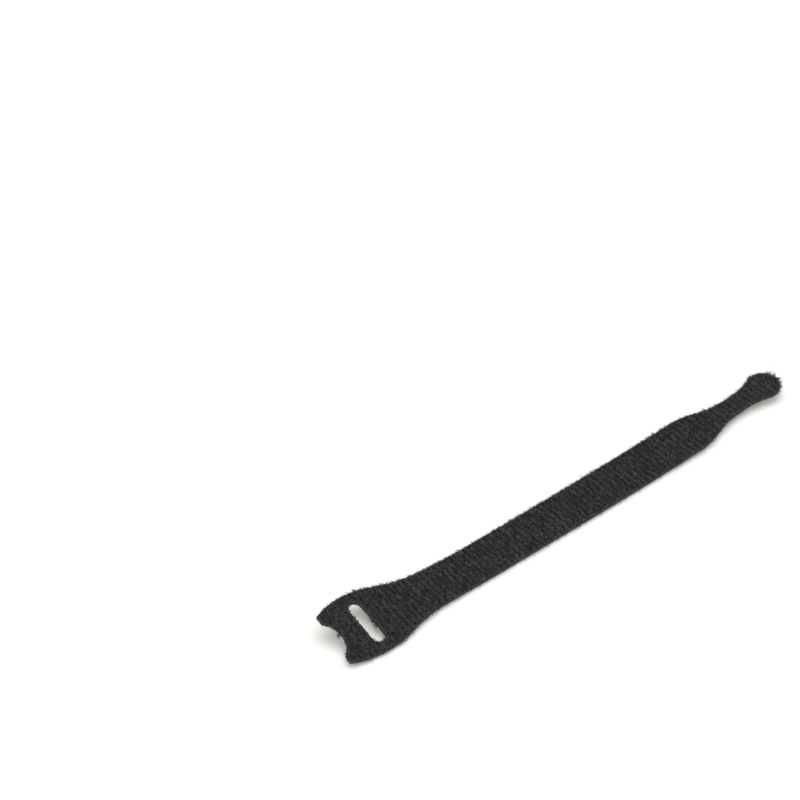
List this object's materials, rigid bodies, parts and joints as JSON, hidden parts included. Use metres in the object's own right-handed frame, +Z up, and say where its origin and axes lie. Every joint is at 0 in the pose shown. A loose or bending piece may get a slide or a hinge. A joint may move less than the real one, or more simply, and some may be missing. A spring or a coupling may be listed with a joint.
{
  "type": "hook and loop cable tie",
  "caption": "Flat black die-cut hook and loop strap with a slotted, notched head and a narrow rounded tip, for bundling cables.",
  "frame": {"origin": "middle of the flat run of the underside, on the surface that the tie lies on", "axes": "+X along the strap from the slotted head to the tip, +Z up out of the loop side, +Y across the strap"},
  "size_m": [0.158, 0.0192, 0.0078],
  "materials": {
    "strap": "matte ribbed loop pile above, fine hooks below"
  },
  "bodies": {
    "root": {"cable_tie": "strap"}
  },
  "joints": []
}
